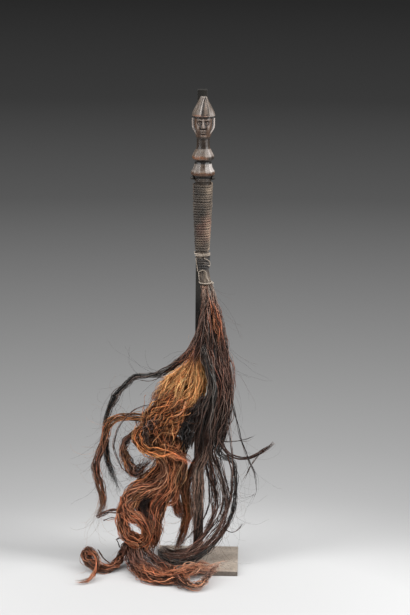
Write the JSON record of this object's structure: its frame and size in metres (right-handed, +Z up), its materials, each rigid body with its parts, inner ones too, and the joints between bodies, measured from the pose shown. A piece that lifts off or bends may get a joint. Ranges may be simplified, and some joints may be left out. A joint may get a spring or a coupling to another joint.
{
  "type": "fly whisk",
  "caption": "Hair fly whisk with a carved wooden figure handle, cord-wrapped grip and long wavy tail, held upright by a yoke on a square steel stand.",
  "frame": {"origin": "centre of the underside of the stand's base plate", "axes": "+Z up along the post and the whisk, the carved face looks along -Y, the post is behind the whisk"},
  "size_m": [0.2404, 0.1711, 0.5871],
  "materials": {
    "base_steel": "warm brownish grey waxed steel plate, satin, faint blotches",
    "stand_steel": "dark bronze-black patinated square bar, satin",
    "screw_steel": "plain steel",
    "yoke_steel": "dark patinated round bar, satin",
    "carved_wood": "old hand-carved wood, dark polished patina, worn lighter on edges",
    "wrap_cord": "tight brown cord, worn and greasy",
    "dock_skin": "dark dried skin",
    "light_twine": "pale twisted plant-fibre twine",
    "dark_cord": "thin dark cord",
    "hair_dark": "long dark brown wavy animal hair with a soft sheen",
    "hair_black": "black wavy animal hair with a cool sheen",
    "hair_golden": "golden blond wavy animal hair",
    "hair_brown": "light brown wavy animal hair",
    "hair_auburn": "reddish brown curled animal hair"
  },
  "bodies": {
    "stand": {"base_plate": "base_steel", "post": "stand_steel", "post_screw": "screw_steel", "yoke": "yoke_steel"},
    "whisk": {"carved_handle": "carved_wood", "grip_wrap": "wrap_cord", "tail_dock": "dock_skin", "dock_binding": "light_twine", "dock_wrap": "dark_cord", "lace_left": "light_twine", "lace_front": "light_twine", "root_tie": "light_twine", "tie_knot": "light_twine", "hair_crown": "hair_dark", "mane_left": "hair_dark", "mane_right": "hair_dark", "mane_back": "hair_black", "left_black_lock": "hair_black", "left_black_lock_end": "hair_black", "golden_lock": "hair_golden", "auburn_bulge": "hair_brown", "brown_lock_upper": "hair_brown", "brown_lock_lower": "hair_brown", "inner_curl": "hair_black", "golden_tip_lock": "hair_golden", "auburn_column": "hair_auburn", "swirl_lock": "hair_auburn", "ring_curl": "hair_auburn", "back_curl": "hair_brown", "post_side_lock": "hair_brown", "post_front_lock": "hair_brown", "inner_lock": "hair_dark", "middle_lock": "hair_dark", "middle_lock_end": "hair_dark", "outer_lock": "hair_dark", "outer_lock_end": "hair_dark", "floor_lock_right": "hair_auburn", "floor_lock_right_end": "hair_auburn", "floor_lock_middle": "hair_auburn", "floor_lock_upper": "hair_auburn", "floor_curl_left": "hair_auburn", "floor_tail_left": "hair_auburn", "right_flick_lock": "hair_dark", "right_thin_lock": "hair_dark"}
  },
  "joints": [
    {"name": "whisk_draw", "type": "slide", "parent": "stand", "child": "whisk", "axis": [0, -0.9903, 0.1392], "range_m": [0, 0.035]}
  ]
}
